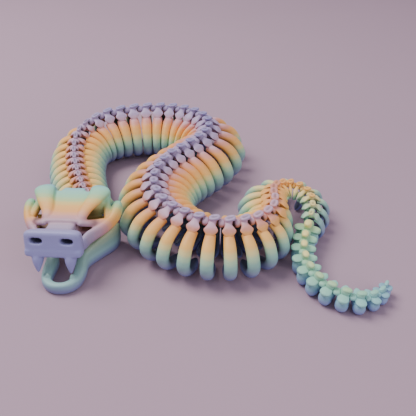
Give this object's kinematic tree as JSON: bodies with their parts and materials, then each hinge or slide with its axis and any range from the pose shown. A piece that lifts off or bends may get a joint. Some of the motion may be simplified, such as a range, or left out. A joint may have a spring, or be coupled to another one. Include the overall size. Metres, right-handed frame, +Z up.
{
  "type": "printed snake skeleton model",
  "caption": "Long chain of loosely linked ribbed vertebrae with a fanged skull and an open lower jaw, lying in one winding curve as a still display model.",
  "frame": {"origin": "middle of the whole outline seen from above, on the floor it lies on", "axes": "+Z up; the picture's near side is -Y and the head is towards -X, with the snout pointing to -Y"},
  "size_m": [0.1538, 0.1506, 0.0288],
  "materials": {
    "skull": "matte printed plastic, blue at the rear through teal, yellow and pink to lavender at the snout, with fine layer lines",
    "jaw": "matte printed plastic, periwinkle at the foot to teal green on top",
    "links": "matte printed plastic whose colour runs with height: blue foot, green, yellow, orange, pink, lavender top",
    "tail": "matte printed plastic, blue foot, green sides and yellow tops"
  },
  "bodies": {
    "root": {"skull": "skull", "lower_jaw": "jaw", "link_01": "links", "link_02": "links", "link_03": "links", "link_04": "links", "link_05": "links", "link_06": "links", "link_07": "links", "link_08": "links", "link_09": "links", "link_10": "links", "link_11": "links", "link_12": "links", "link_13": "links", "link_14": "links", "link_15": "links", "link_16": "links", "link_17": "links", "link_18": "links", "link_19": "links", "link_20": "links", "link_21": "links", "link_22": "links", "link_23": "links", "link_24": "links", "link_25": "links", "link_26": "links", "link_27": "links", "link_28": "links", "link_29": "links", "link_30": "links", "link_31": "links", "link_32": "links", "link_33": "links", "link_34": "links", "link_35": "links", "link_36": "links", "link_37": "links", "link_38": "links", "link_39": "links", "link_40": "links", "link_41": "links", "link_42": "links", "link_43": "links", "link_44": "links", "link_45": "links", "link_46": "links", "link_47": "links", "link_48": "links", "link_49": "links", "link_50": "links", "link_51": "links", "link_52": "links", "link_53": "links", "link_54": "links", "link_55": "links", "tail_length_01": "tail", "tail_length_02": "tail", "tail_length_03": "tail"}
  },
  "joints": []
}
